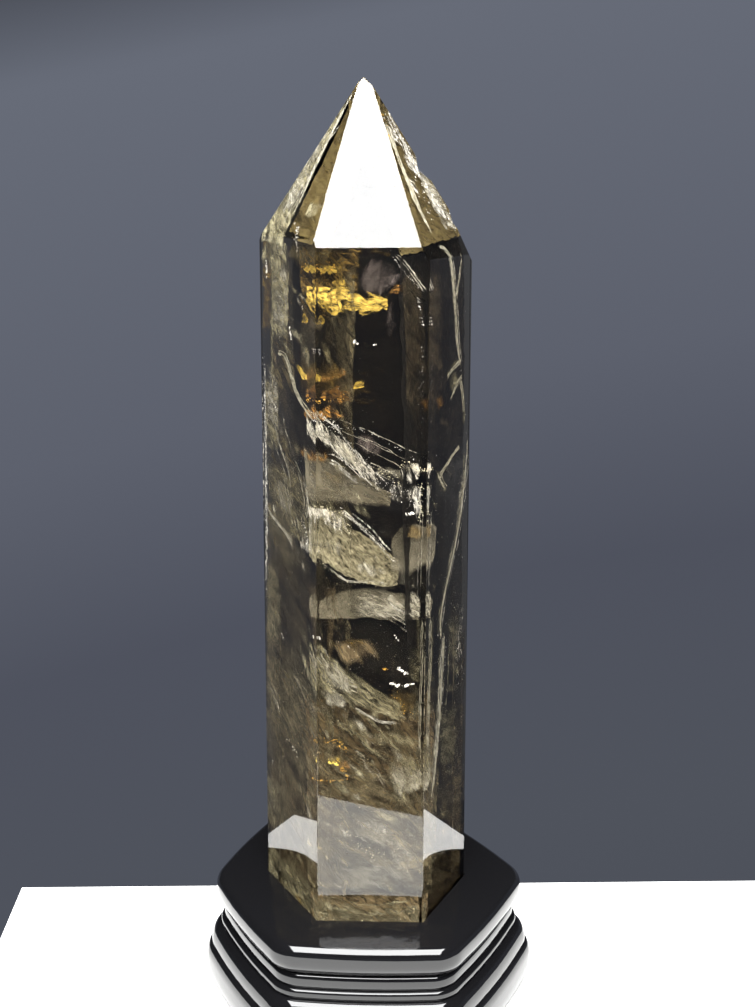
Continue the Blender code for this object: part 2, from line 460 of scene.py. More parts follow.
def grey_patch():
    """A smooth grey patch with a tan cap, at the right."""
    crack(
        "haze", "front", (12, 113), (11, 15), 7,
        slant=12, soft=(0.05, 0.0, 0.05, 0.15), cover=0.6, pointed=0.4,
    )
    crack("milk", "front", (10, 109), (10, 9), 7, soft=0.35, cover=0.4)
    crack("amber", "front", (13, 118), (6, 6), 6, soft=0.3, cover=0.7)


def mottled_veil():
    """White and cloudy at its top, olive below, with a bright rim."""
    crack("mottle", "front", (-2, 112), (26, 16), 8, slant=-28, taper=0.45, sag=3, soft=0.04)
    crack("frost", "front", (-9, 121), (12, 7), 6, slant=-25, soft=(0.02, 0.4, 0.1, 0.3), cover=0.85)
    crack("milk", "front", (-9, 114), (9, 8), 5, slant=-15, soft=0.4, cover=0.5)
    crack("milk", "front", (1, 107), (12, 7), 5, slant=-10, taper=0.6, soft=0.3, cover=0.9)
    rim = [(-8, 126), (1, 118), (9, 109)]
    foot = [(-13, 110), (-9, 107), (-5, 104), (1, 104), (7, 103)]
    seam("frost", "front", 6, rim, 5, 0.6, 0.5)
    seam("scratch", "front", 5, foot, 3, 0.4, 0.35, 0.9)
    seam("scratch", "front", 5, [(-14, 126), (-14, 118), (-14, 111)], 3, 0.5, 0.4, 0.8)
    glitter("white", "front", 5, rim, 44, 0.5, (0.2, 0.6))
    glitter("cream", "front", 5, [(-13, 125), (-9, 123), (-4, 117)], 120, 2.2, (0.15, 0.6))
    glitter("cream", "front", 4, foot, 46, 0.5, (0.15, 0.5))


def pale_band():
    """A pale band, flat at its foot, with milky flow lines above."""
    crack("haze", "front", (1, 95), (28, 5), 8, crown=4, soft=(0.0, 0.0, 0.1, 0.0), cover=0.6)
    crack("milk", "front", (5, 97), (20, 9), 7, soft=(0.3, 0.0, 0.3, 0.1), cover=0.9)
    crack("milk", "front", (11, 104), (10, 7), 9, slant=-15, cover=0.6)
    crack("milkolive", "front", (4, 104), (13, 7), 9, slant=-15, soft=0.3, cover=0.8)
    seam("milk", "front", 7, [(-5, 102), (2, 100), (10, 96), (15, 93)], 5, 2.6, 0.6, 0.9)
    seam("frost", "front", 6, [(5, 98), (9, 95), (14, 93)], 3, 0.9, 0.6, 0.9)


def dark_oval():
    """A dark oval with a brown glow and a few sparks."""
    # The oval's darkness is a near-black sheet: partly smoky colour, partly painted shade.
    crack("smoke", "front", (0, 82), (29, 12), 9, slant=-12, taper=2.1, soft=(0.15, 0.2, 0.1, 0.5), cover=0.8)
    crack("amber", "front", (-3, 84), (18, 11), 8, soft=0.4, cover=1.4)
    crack("brownhaze", "front", (-2, 83), (18, 10), 7, soft=0.4, cover=1.4)
    glitter("white", "front", 5, [(-13, 88), (-13, 87)], 4, 0.3, (0.4, 0.8))
    glitter("white", "front", 7, [(-5, 85), (-5, 84)], 5, 0.3, (0.3, 0.7))
    glitter("gold", "front", 6, [(5, 78), (6, 78)], 9, 0.3, (0.4, 0.9))
    glitter("bright", "front", 5, [(9, 79), (10, 78), (12, 77)], 18, 0.35, (0.5, 1.2))
    glitter("bright", "front", 5, [(7, 74), (10, 73), (13, 74)], 26, 0.35, (0.5, 1.3))
    glitter("white", "front", 6, [(8, 88), (10, 86)], 9, 0.3, (0.3, 0.8))


def olive_veil():
    """The long pale olive veil under the oval."""
    crack(
        "milkolive", "front", (-1, 71), (30, 16), 7,
        slant=-30, taper=0.38, crown=-2, soft=(0.02, 0.15, 0.15, 0.1),
    )
    crack("milk", "front", (-8, 75), (15, 12), 6, slant=-35, soft=0.3, cover=0.9)
    crack("milk", "front", (-9, 69), (11, 7), 5, slant=-15, soft=0.3, cover=0.7)
    seam("milk", "front", 6, [(-11, 76), (-6, 74), (2, 71)], 4, 1.0, 0.6, 0.9)
    seam("milk", "front", 6, [(-14, 85), (-12, 82), (-10, 78)], 3, 1.0, 0.7, 0.8)
    seam("scratch", "front", 5, [(-4, 67), (1, 64), (5, 62), (12, 62)], 4, 0.7, 0.4, 0.8)
    crack("amber", "front", (10, 67), (10, 10), 9, cover=0.8)
    crack("milkolive", "front", (13, 77), (4, 34), 9, soft=(0.35, 0.0, 0.1, 0.1), cover=0.5)
    glitter("cream", "front", 5, [(-11, 74), (-6, 72), (2, 71)], 30, 0.5, (0.15, 0.5))
    glitter("gold", "front", 6, [(8, 70), (11, 66), (14, 64)], 26, 1.7, (0.15, 0.45))


def lower_body():
    """Brown, with slanting streaks, golden sparks and a beige cloud."""
    crack("brownhaze", "front", (1, 49), (30, 33), 11, slant=-11, soft=(0.0, 0.0, 0.05, 0.02), cover=1.2)
    crack("milkolive", "front", (-3, 59), (19, 9), 8, slant=-27, soft=0.4, cover=0.8)
    crack("milkolive", "front", (7, 56), (18, 7), 8, slant=-10, soft=(0.4, 0.0, 0.4, 0.4), cover=0.9)
    crack("milkolive", "front", (11, 44), (11, 17), 8, soft=(0.2, 0.0, 0.2, 0.2), cover=0.8)
    crack("milk", "front", (11, 44), (10, 15), 7, soft=(0.3, 0.0, 0.3, 0.2), cover=0.65)
    seam("milkolive", "front", 8, [(-11, 63), (-3, 57), (7, 47)], 5, 3.5, 0.8, 0.9)
    seam("milk", "front", 8, [(-4, 54), (1, 47), (6, 37)], 4, 2.6, 0.5, 0.6)
    crack("gold", "front", (-8, 54), (9, 6), 9, slant=-10, soft=0.35, cover=0.5)
    crack("gold", "front", (-9, 49), (6, 4), 8, soft=0.3, cover=0.9)
    crack("ember", "front", (-6, 47), (5, 5), 8, soft=0.3, cover=0.7)
    glitter("gold", "front", 8, [(-12, 55), (-9, 55), (-5, 52)], 44, 1.1, (0.2, 0.7))
    glitter("goldbright", "front", 7, [(-11, 49), (-8, 48)], 20, 0.5, (0.5, 1.2))
    glitter("gold", "front", 7, [(-7, 47), (-5, 44)], 22, 0.6, (0.3, 0.8))
    glitter("gold", "front", 7, [(-13, 43), (-7, 43)], 18, 0.4, (0.2, 0.6))


def foot_clouds():
    """Clouds low in the crystal and its brown foot."""
    crack("milkolive", "front", (1, 18), (30, 34), 11, slant=-4, soft=(0.0, 0.0, 0.0, 0.1), cover=0.35)
    crack("milk", "front", (2, 26), (20, 12), 7, slant=-8, soft=0.35, cover=0.45)
    crack("milk", "front", (1, 12), (27, 16), 7, soft=0.35, cover=0.35)
    crack("milk", "front", (11, 18), (10, 27), 6, soft=0.35, cover=0.35)
    crack("brownhaze", "front", (1, 2), (30, 11), 6, soft=(0.0, 0.0, 0.2, 0.0), cover=1.2)
    crack("milkolive", "front", (1, 1), (30, 9), 4, soft=(0.0, 0.0, 0.3, 0.0), cover=0.5)
    seam("milkolive", "front", 4, [(-14, 2), (-6, 0), (4, -1), (16, 1)], 5, 2.0, 0.6, 0.8)
    glitter("cream", "front", 6, [(-2, 25), (2, 20), (11, 22)], 26, 2.5, (0.2, 0.6))
    glitter("cream", "front", 3, [(-13, 2), (-5, -1), (5, -2), (15, 2)], 60, 1.1, (0.15, 0.5))


def front_left_side():
    """A pale strip at the top, a cream thread, mottled olive below."""
    side = "front_left"
    crack("milkolive", side, (-9, 179), (11, 33), 4, soft=(0.15, 0.0, 0.3, 0.25), cover=1.3)
    crack("milk", side, (-9, 180), (10, 30), 4, soft=(0.2, 0.0, 0.3, 0.3), cover=0.8)
    crack("amber", side, (-16, 178), (6, 32), 4, soft=(0.0, 0.3, 0.0, 0.3))
    crack("milkolive", side, (-11, 190), (16, 12), 4, soft=(0.0, 0.2, 0.0, 0.4), cover=1.1)
    crack("honey", side, (4, 193), (16, 10), 5, soft=(0.2, 0.0, 0.0, 0.5), cover=0.8)
    crack("milkolive", side, (-14, 147), (9, 34), 4.5, soft=(0.0, 0.15, 0.3, 0.2), cover=0.9)
    crack("frost", side, (-13, 150), (8, 28), 4, soft=(0.1, 0.3, 0.4, 0.3), cover=0.5)
    crack("brownhaze", side, (3, 145), (20, 22), 8, cover=0.6)
    crack("ember", side, (7, 139), (12, 5), 5, cover=0.6)
    crack("milkolive", side, (-4, 119), (30, 28), 7, soft=(0.0, 0.05, 0.15, 0.3), cover=0.9)
    crack("milk", side, (-8, 123), (16, 14), 4, slant=-20, soft=0.35, cover=0.5)
    crack("frost", side, (6, 113), (10, 9), 4, soft=0.3, cover=0.9)
    crack("brownhaze", side, (-4, 90), (30, 32), 7, soft=(0.0, 0.0, 0.2, 0.05), cover=0.8)
    crack("milkolive", side, (-14, 90), (10, 33), 5, soft=(0.0, 0.4, 0.3, 0.1), cover=0.7)
    crack("milkolive", side, (-4, 55), (30, 32), 7, soft=(0.0, 0.0, 0.02, 0.3), cover=0.75)
    crack("brownhaze", side, (-4, 24), (30, 38), 7, soft=(0.0, 0.0, 0.3, 0.0), cover=0.8)
    crack("milkolive", side, (-12, 28), (17, 34), 5, soft=(0.0, 0.4, 0.5, 0.2), cover=0.7)
    crack("milkolive", side, (-3, 4), (33, 13), 3.5, soft=(0.05, 0.0, 0.4, 0.0), cover=0.9)
    crack("amber", side, (-1, -1), (26, 6), 3, soft=(0.2, 0.0, 0.4, 0.0), cover=0.9)
    seam("seam", side, 4, [(-10, 164), (-5, 164), (-1, 159), (3, 154), (13, 149)], 4, 0.35, 0.8)
    seam("milkolive", side, 4, [(-12, 193), (-12, 181), (-13, 164), (-13, 145)], 4, 1.0, 0.6)
    seam("milk", side, 5, [(-6, 132), (-3, 123), (3, 112)], 4, 1.8, 0.6)
    seam("milk", side, 4, [(-13, 145), (-8, 137), (1, 127)], 5, 2.0, 0.8)
    seam("scratch", side, 3, [(4, 134), (8, 126), (5, 117)], 4, 1.2, 0.4)
    seam("scratch", side, 3, [(-19, 119), (-13, 116), (-6, 114), (1, 110)], 4, 0.5, 0.5)
    seam("milkolive", side, 5, [(-19, 63), (-11, 57), (2, 47)], 5, 2.6, 0.7)
    seam("milk", side, 5, [(-3, 71), (3, 67), (11, 62)], 4, 2.0, 0.5, 0.8)
    seam("milk", side, 4, [(-19, 64), (-14, 61), (-8, 56)], 4, 1.0, 0.6, 0.9)
    edge = [(-17, 163), (-17, 143), (-17, 120), (-18, 87)]
    seam("frost", side, 2.5, edge, 6, 0.7, 0.7)
    glitter("white", side, 2.5, edge, 110, 0.8, (0.12, 0.45))
    glitter("white", side, 3, [(-15, 189), (-15, 183)], 26, 0.5, (0.3, 0.9))
    glitter("white", side, 4, [(1, 198), (3, 193)], 24, 0.9, (0.25, 0.8))
    glitter("white", side, 4, [(-2, 172), (-1, 169)], 22, 0.35, (0.5, 1.0))
    glitter("white", side, 3, [(-5, 195), (-6, 180), (-8, 166)], 50, 1.0, (0.12, 0.4))
    glitter("white", side, 4, [(5, 119), (7, 117), (8, 113)], 30, 0.8, (0.2, 0.7))
    glitter("white", side, 4, [(-5, 49), (1, 46)], 16, 0.6, (0.3, 0.8))
    glitter("gold", side, 2.5, [(-9, -4), (-1, -3), (10, -2)], 18, 0.5, (0.15, 0.45))
    glitter("cream", side, 2.5, [(-17, 3), (-9, -2)], 14, 0.7, (0.15, 0.4))
    for across, up in ((-10, 149), (-8, 82), (-11, 58), (-15, 38), (12, 169)):
        glitter("white", side, 3, [(across, up), (across + 1, up - 2)], 8, 0.4, (0.2, 0.6))


def front_left_end():
    """A smooth honey facet, an olive outer band, and one long bright thread between."""
    end = "front_left_end"
    crack("honey", end, (6, 214), (18, 36), 5, soft=0.0, cover=1.1)
    crack("milkolive", end, (5, 203), (8, 5), 3, cover=0.9)
    crack("milkolive", end, (-10, 214), (14, 40), 3, soft=(0.0, 0.1, 0.0, 0.0))
    crack("milk", end, (-9, 212), (9, 34), 2.5, soft=0.3, cover=0.6)
    line = [(-2, 234), (-3, 226), (-4, 213), (-4, 199)]
    seam("scratch", end, 3, line, 5, 0.3, 0.6)
    seam("milk", end, 3, [(-2, 228), (-6, 218), (-8, 206), (-9, 197)], 4, 1.6, 0.7, 0.9)
    glitter("white", end, 2, [(-1, 200), (4, 198)], 8, 0.5, (0.25, 0.6))


def front_right_end():
    """Rough cream pieces and flow lines over dark honey, with dark gaps of smoky colour and painted shade."""
    end = "front_right_end"
    crack("honey", end, (-3, 213), (34, 38), 6, soft=0.0)
    # A near-black sheet: smoky colour and painted shade in the gaps.
    crack("smoke", end, (-6, 208), (14, 22), 7, soft=0.15, cover=0.7)
    crack("milk", end, (6, 208), (9, 28), 3, soft=0.15, cover=0.8)
    for across, up, wide, tall in ((-1, 222, 5, 6), (1, 214, 6, 7), (-4, 209, 4, 7), (5, 203, 6, 7)):
        crack("frost", end, (across, up), (wide, tall), 2.5, slant=-20, soft=0.2)
    seam("frost", end, 3, [(1, 231), (1, 222), (2, 212), (5, 194)], 4, 1.2, 1.0)
    seam("seam", end, 3, [(-2, 226), (-5, 217), (-7, 207), (-8, 196)], 4, 0.8, 1.0)
    glitter("white", end, 2.5, [(-1, 227), (3, 218), (3, 209), (9, 197)], 190, 2.0, (0.2, 0.75))
    glitter("bright", end, 2.5, [(-1, 224), (0, 218), (-1, 208), (-3, 200)], 30, 1.4, (0.3, 0.9))
    glitter("gold", end, 2.5, [(-2, 228), (-5, 221)], 12, 0.8, (0.3, 0.8))


def right_side():
    """Near-black sheets of smoky colour and painted shade, long cream seams, and rough grey patches."""
    side = "front_right"
    # Near-black sheets over this face: partly smoky colour, partly painted shade.
    crack("smoke", side, (-2, 163), (28, 60), 7, soft=(0.0, 0.05, 0.0, 0.2))
    crack("smoke", side, (-10, 108), (10, 62), 6.5, soft=(0.0, 0.3, 0.1, 0.2))
    crack("smoke", side, (4, 82), (19, 96), 8, soft=(0.1, 0.0, 0.2, 0.2), cover=0.7)
    crack("brownhaze", side, (-8, 167), (14, 48), 6.5, soft=(0.0, 0.4, 0.1, 0.3), cover=0.35)
    crack("ember", side, (-5, 153), (8, 9), 5.5, soft=0.4, cover=0.3)
    crack("milkolive", side, (4, 157), (8, 8), 4.5, soft=0.3, cover=0.7)
    crack("milkolive", side, (6, 79), (12, 26), 4.5, soft=0.4, cover=0.7)
    crack("milkolive", side, (3, 50), (16, 30), 5.5, soft=0.3, cover=0.6)
    crack("brownhaze", side, (0, 12), (26, 28), 6, soft=(0.0, 0.0, 0.2, 0.0), cover=0.4)
    fringed_seam(side, 4, [(-6, 194), (-1, 191), (2, 180), (4, 169), (7, 159)], 1.8)
    fringed_seam(side, 3.5, [(12, 140), (11, 130), (9, 121), (5, 110), (-4, 92), (-4, 82)], 2.6)
    fringed_seam(side, 3.5, [(-3, 86), (-4, 71), (-6, 55), (-10, 35)], 3.0)
    seam("seam", side, 4, [(6, 191), (5, 186), (3, 180)], 2, 0.4, 0.7, 0.9)
    for path in (
        [(7, 162), (2, 161), (-2, 159)],
        [(8, 158), (4, 156), (0, 152)],
        [(7, 157), (9, 151), (10, 143)],
        [(7, 138), (1, 136), (-7, 132)],
        [(-7, 134), (-5, 131), (-1, 127)],
    ):
        seam("seam", side, 4, path, 3, 0.4, 0.7)
        seam("milkolive", side, 4.5, path, 2, 0.5, 1.6, 0.7)
    seam("seam", side, 4, [(-12, 96), (-11, 81), (-12, 65), (-12, 42)], 3, 1.0, 0.5, 0.8)
    seam("scratch", side, 4, [(-11, 128), (-12, 114), (-13, 92)], 3, 0.7, 0.35, 0.8)
    seam("frost", side, 3.5, [(10, 91), (7, 78), (11, 66)], 4, 1.8, 0.5, 0.7)
    glitter("white", side, 3, [(-15, 170), (-15, 160), (-14, 146)], 14, 0.7, (0.15, 0.4))
    glitter("cream", side, 3.5, [(2, 136), (-2, 133), (3, 130)], 26, 1.1, (0.15, 0.5))
    glitter("white", side, 3, [(-1, 82), (-4, 65), (-8, 42)], 60, 1.1, (0.15, 0.5))
    glitter("white", side, 3, [(9, 87), (7, 76), (8, 64)], 30, 1.1, (0.12, 0.4))
    glitter("white", side, 2.5, [(9, 6), (13, 6)], 9, 0.6, (0.15, 0.45))


def shade_and_smoky_body():
    """Near-black sheets of smoky colour and painted shade behind the clear zone and the front-left face, and
    the smoky body behind each face.
    """
    # Painted shade: near-black sheets that darken what is seen through the clear zone and the front-left
    # face.
    crack("smoke", "front", (1, 162), (32, 64), 20, soft=(0.0, 0.0, 0.0, 0.1))
    crack("smoke", "front", (1, 98), (32, 56), 16, soft=(0.0, 0.0, 0.1, 0.1), cover=0.8)
    crack("smoke", "front", (2, 119), (15, 11), 12, slant=-10, soft=0.15, cover=0.6)
    crack("smoke", "front_left", (4, 150), (19, 20), 7, cover=0.8)
    crack("smoke", "front_left", (-3, 90), (28, 32), 5.5, cover=0.5)
    crack("body", "front", (1, 45), (32, 70), 14, soft=(0.0, 0.0, 0.25, 0.05))
    crack("body", "front", (1, 36), (32, 62), 9, soft=(0.0, 0.0, 0.3, 0.05), cover=0.9)
    crack("body", "front_left", (-3, 95), (34, 196), 11, soft=0.02, cover=0.9)
    crack("body", "front_left", (-4, 68), (33, 138), 6, soft=(0.0, 0.3, 0.2, 0.02), cover=0.7)
    crack("body", "front_right", (1, 48), (30, 96), 10, soft=(0.0, 0.0, 0.3, 0.02), cover=0.7)


def rear_clouds():
    """The smoky body and a few slanting clouds behind the three rear faces."""
    for side in ("back_left", "back_right"):
        crack("body", side, (0, 62), (34, 120), 7, soft=(0.0, 0.0, 0.3, 0.02), cover=0.9)
    crack("brownhaze", "back", (0, 50), (34, 96), 7, slant=-8, soft=(0.0, 0.0, 0.35, 0.0), cover=0.9)
    for side, across, up in (("back_left", -3, 120), ("back", 3, 150), ("back_right", 2, 96)):
        crack("milkolive", side, (across, up), (18, 12), 5, slant=-30, soft=0.35, cover=0.7)
        seam("milk", side, 4, [(across - 8, up + 9), (across, up + 3), (across + 8, up - 6)], 3, 1.2, 0.6)


def lay_out_inside():
    for feature in (
        gold_foil, lilac_haze, copper_patches, white_band, threads_above_the_band,
        grey_patch, mottled_veil, pale_band, dark_oval, olive_veil, lower_body,
        foot_clouds, front_left_side, front_left_end, front_right_end, right_side,
        shade_and_smoky_body, rear_clouds,
    ):
        feature()


# Each finish: pale and deep colour, spots per metre, where it starts and fills, highest
# cover, roughness, metal, how far and which way its grain is drawn out, and its ripples.
VEIL_FINISHES = {
    "milk": (
        (0.54, 0.53, 0.48), (0.15, 0.14, 0.105), 340.0, (0.36, 0.64),
        0.85, 0.45, 0.0, (1.5, -32), (2.5, 0.8),
    ),
    "milkolive": (
        (0.34, 0.32, 0.225), (0.09, 0.08, 0.042), 280.0, (0.32, 0.62),
        0.80, 0.5, 0.0, (1.5, -35), (3.5, 1.0),
    ),
    "frost": (
        (0.78, 0.77, 0.74), (0.03, 0.028, 0.022), 700.0, (0.40, 0.58),
        0.92, 0.3, 0.0, (1.4, -38), (2.0, 1.1),
    ),
    "mottle": (
        (0.45, 0.425, 0.31), (0.035, 0.028, 0.012), 320.0, (0.24, 0.48),
        0.92, 0.4, 0.0, (1.2, -30), (3.0, 1.3),
    ),
    "haze": (
        (0.29, 0.27, 0.215), (0.15, 0.138, 0.104), 110.0, (0.20, 0.50),
        0.85, 0.5, 0.0, (1.5, -20), (8.0, 0.4),
    ),
    "brownhaze": (
        (0.21, 0.165, 0.10), (0.045, 0.032, 0.017), 230.0, (0.30, 0.62),
        0.80, 0.5, 0.0, (1.6, -38), (5.0, 1.2),
    ),
    "amber": (
        (0.24, 0.165, 0.045), (0.03, 0.017, 0.004), 420.0, (0.38, 0.64),
        0.75, 0.4, 0.0, (1.6, -15), (3.0, 1.0),
    ),
    "lilac": (
        (0.20, 0.175, 0.19), (0.045, 0.036, 0.042), 300.0, (0.36, 0.66),
        0.60, 0.3, 0.0, (1.6, 42), (4.0, 0.9),
    ),
    "gold": (
        (0.95, 0.70, 0.16), (0.02, 0.011, 0.002), 420.0, (0.42, 0.52),
        0.97, 0.3, 0.3, (1.9, -6), (2.2, 1.3),
    ),
    "ember": (
        (0.46, 0.24, 0.055), (0.02, 0.010, 0.002), 420.0, (0.42, 0.56),
        0.90, 0.35, 0.2, (1.8, -10), (2.4, 1.2),
    ),
    "seam": (
        (0.56, 0.54, 0.45), (0.10, 0.09, 0.06), 600.0, (0.26, 0.44),
        0.97, 0.5, 0.0, (1.4, 0), (1.6, 0.4),
    ),
    "scratch": (
        (0.64, 0.63, 0.59), (0.13, 0.122, 0.09), 900.0, (0.38, 0.54),
        0.92, 0.4, 0.0, (1.6, 0), (1.6, 0.3),
    ),
    "body": (
        (0.30, 0.265, 0.175), (0.035, 0.025, 0.013), 150.0, (0.34, 0.64),
        0.80, 0.5, 0.0, (1.8, -36), (10.0, 2.4),
    ),
    "honey": (
        (0.105, 0.083, 0.034), (0.05, 0.036, 0.012), 160.0, (0.22, 0.50),
        0.85, 0.5, 0.0, (1.5, -20), (6.0, 0.6),
    ),
    # Near-black sheets: partly the crystal's own smoky colour, partly painted shade where it looks dark.
    "smoke": (
        (0.012, 0.009, 0.006), (0.003, 0.003, 0.002), 90.0, (0.18, 0.44),
        0.90, 0.6, 0.0, (1.5, -35), (10.0, 1.5),
    ),
}
# Each flake finish: its colour, roughness and metal.
FLAKE_FINISHES = {
    "white": ((0.80, 0.80, 0.83), 0.25, 0.0),
    "bright": ((1.0, 1.0, 1.0), 0.2, 0.0),
    "cream": ((0.55, 0.52, 0.40), 0.3, 0.0),
    "gold": ((0.85, 0.52, 0.10), 0.3, 0.3),
    "goldbright": ((1.0, 0.86, 0.22), 0.3, 0.2),
}


def veil_finish(name):
    """A cloudy film: noise says where it is dense, worn away towards a sheet's edges."""
    pale, deep, spots, fills, most, roughness, metal, (drawn, slant), _ = VEIL_FINISHES[name]
    material, tree = new_material(name + "_veil")
    out = node(tree, "ShaderNodeOutputMaterial")
    film = node(tree, "ShaderNodeBsdfPrincipled", Roughness=roughness, Metallic=metal)
    film.inputs["Specular IOR Level"].default_value = 0.2
    sheet = node(tree, "ShaderNodeUVMap", uv_map="UVMap")
    lie = node(tree, "ShaderNodeMapping", vector_type="TEXTURE")
    lie.inputs["Rotation"].default_value = (0.0, 0.0, math.radians(slant))
    lie.inputs["Scale"].default_value = (drawn, 1.0 / drawn, 1.0)
    # Where the film is dense: clouds and wider patches, less what has worn away.
    clouds = node(
        tree, "ShaderNodeTexNoise", Scale=spots, Detail=8.0, Roughness=0.6, Distortion=0.9
    )
    patches = node(tree, "ShaderNodeTexNoise", Scale=0.3 * spots, Detail=2.0)
    mixed = node(tree, "ShaderNodeMix", data_type="FLOAT")
    mixed.inputs[0].default_value = 0.35
    share = node(tree, "ShaderNodeAttribute", attribute_name="share")
    wear = node(tree, "ShaderNodeMath", operation="MULTIPLY_ADD")
    wear.inputs[1].default_value = 0.3
    wear.inputs[2].default_value = -0.3
    worn = node(tree, "ShaderNodeMath", operation="ADD")
    dense = node(tree, "ShaderNodeMapRange", interpolation_type="SMOOTHSTEP")
    for socket, value in zip(("From Min", "From Max", "To Max"), (*fills, most)):
        dense.inputs[socket].default_value = value
    cover = node(tree, "ShaderNodeAttribute", attribute_name="cover")
    opaque = node(tree, "ShaderNodeMath", operation="MULTIPLY", use_clamp=True)
    # Its colour and its crumpling: a finer grain, between the deep and the pale tone.
    grain = node(tree, "ShaderNodeTexNoise", Scale=2.6 * spots, Detail=6.0, Roughness=0.7)
    toned = node(tree, "ShaderNodeMix", data_type="FLOAT")
    toned.inputs[0].default_value = 0.4
    tones = node(tree, "ShaderNodeValToRGB")
    for stop, place, tone in zip(tones.color_ramp.elements, (0.40, 0.62), (deep, pale)):
        stop.position = place
        stop.color = (*tone, 1.0)
    crumpled = node(tree, "ShaderNodeBump", Strength=0.6, Distance=0.25 / spots)
    wire(
        tree,
        (sheet, "UV", lie, "Vector"),
        (lie, 0, clouds, "Vector"),
        (lie, 0, patches, "Vector"),
        (lie, 0, grain, "Vector"),
        (clouds, "Fac", mixed, 2),
        (patches, "Fac", mixed, 3),
        (share, "Fac", wear, 0),
        (mixed, 0, worn, 0),
        (wear, 0, worn, 1),
        (worn, 0, dense, "Value"),
        (dense, 0, opaque, 0),
        (cover, "Fac", opaque, 1),
        (opaque, 0, film, "Alpha"),
        (grain, "Fac", toned, 2),
        (clouds, "Fac", toned, 3),
        (toned, 0, tones, 0),
        (tones, 0, film, "Base Color"),
        (grain, "Fac", crumpled, "Height"),
        (crumpled, "Normal", film, "Normal"),
        (film, 0, out, "Surface"),
    )
    return material


def flake_finish(name):
    colour, roughness, metal = FLAKE_FINISHES[name]
    material, tree = new_material(name + "_flake")
    out = node(tree, "ShaderNodeOutputMaterial")
    film = node(tree, "ShaderNodeBsdfPrincipled", Roughness=roughness, Metallic=metal)
    film.inputs["Base Color"].default_value = (*colour, 1.0)
    wire(tree, (film, 0, out, "Surface"))
    return material


# ---- How a sheet hangs ---------------------------------------------------------------

VEIL_STEP = 0.45 * MM
COLUMNS = (6, 120)  # fewest and most
ROWS = (4, 160)
VEIL_GAP = 0.35 * MM  # how far the sheets stay behind the crystal's faces
WANDERS = [(240.0, 0.7), (800.0, 0.3)]  # spots per metre and reach of the drift
DRIFT_SEED = 4
RIPPLES = [(1.0, 1.0), (0.35, 0.4)]  # large and small: shares of the finish's size and height


def smooth_path(spots, count):
    """Evenly counted places along a smooth curve through a few spots."""
    ends = [2.0 * spots[0] - spots[1], *spots, 2.0 * spots[-1] - spots[-2]]
    places = []
    for step in range(count):
        along = step * (len(spots) - 1) / (count - 1)
        part = min(int(along), len(spots) - 2)
        t = along - part
        a, b, c, d = ends[part : part + 4]
        curve = b * 2.0 + (c - a) * t + (a * 2.0 - b * 5.0 + c * 4.0 - d) * t * t
        places.append((curve + (b * 3.0 - a - c * 3.0 + d) * t * t * t) * 0.5)
    return places


def fade_in(part, width):
    return 1.0 if width <= 0.0 else min(1.0, max(0.0, part / width))


def ripple_texture(name, size):
    texture = bpy.data.textures.new(name, "CLOUDS")
    texture.noise_scale = size
    texture.noise_depth = 3
    return texture


def luck_of(name):
    """A start for a sheet's grain, so that no two sheets share one."""
    return random.Random(name).uniform(0.0, 1.0)


def length_of(spots):
    return sum((end - start).length for start, end in zip(spots, spots[1:]))


def wander(spot, out, start):
    """A small drift along the sheet, so that no edge runs quite true."""
    drift = Vector((0.0, 0.0, 0.0))
    for spots, reach in WANDERS:
        drift += noise.noise_vector(spot * spots + Vector((start, 0.0, 0.0)) * 40.0) * reach * MM
    return drift - out * drift.dot(out)


def hang_veil(name, ripple, face, depths, upper, lower, fades, cover):
    """A sheet between two edges, rippled, with its cover kept at every point."""
    facing, _, lean, end_facing, _, end_lean = SIDES[face.removesuffix("_end")]
    out = outward(end_facing, end_lean) if face.endswith("_end") else outward(facing, lean)
    upper = [behind(face, *place, depths[0]) for place in upper]
    lower = [behind(face, *place, depths[1]) for place in lower]
    top_length = max(length_of(upper), length_of(lower))
    drop = max((upper[end] - lower[end]).length for end in (0, -1))
    columns, rows = (
        max(fewest, min(most, round(length / VEIL_STEP)))
        for length, (fewest, most) in ((top_length, COLUMNS), (drop, ROWS))
    )
    loose = min(1.0, max(0.3, drop / (4.0 * MM)))
    deselect_all()
    bpy.ops.mesh.primitive_grid_add(x_subdivisions=columns, y_subdivisions=rows, size=1.0)
    veil = name_piece(name)
    tops = smooth_path(upper, columns + 1)
    feet = smooth_path(lower, columns + 1)
    start = luck_of(name)
    covers = veil.data.attributes.new("cover", "FLOAT", "POINT")
    shares = veil.data.attributes.new("share", "FLOAT", "POINT")
    left, right, above, below = fades
    for vert in veil.data.vertices:
        across, down = vert.co.x + 0.5, 0.5 - vert.co.y
        column = min(columns, max(0, round(across * columns)))
        share = fade_in(across, left) * fade_in(1.0 - across, right)
        share *= fade_in(down, above) * fade_in(1.0 - down, below)
        shares.data[vert.index].value = share
        covers.data[vert.index].value = cover
        spot = tops[column].lerp(feet[column], down)
        vert.co = spot + wander(spot, out, start) * loose
    for corner in veil.data.uv_layers["UVMap"].data:
        across, down = corner.uv
        corner.uv = (start + across * top_length, start + down * drop)
    size, height = ripple
    for part, (wide, high) in enumerate(RIPPLES):
        texture = ripple_texture(f"{name}_ripple_{part}", size * wide * MM)
        apply_modifier(
            veil, "DISPLACE", texture=texture, strength=height * high * MM,
            mid_level=0.5, texture_coords="LOCAL",
        )
    return veil


def trim_inside(piece, gap):
    """Cuts off whatever comes nearer than the gap to a face of the crystal."""
    edit(piece)
    for spot, normal in facets(-gap):
        grind(spot, normal, fill=False)
    finish_edit()


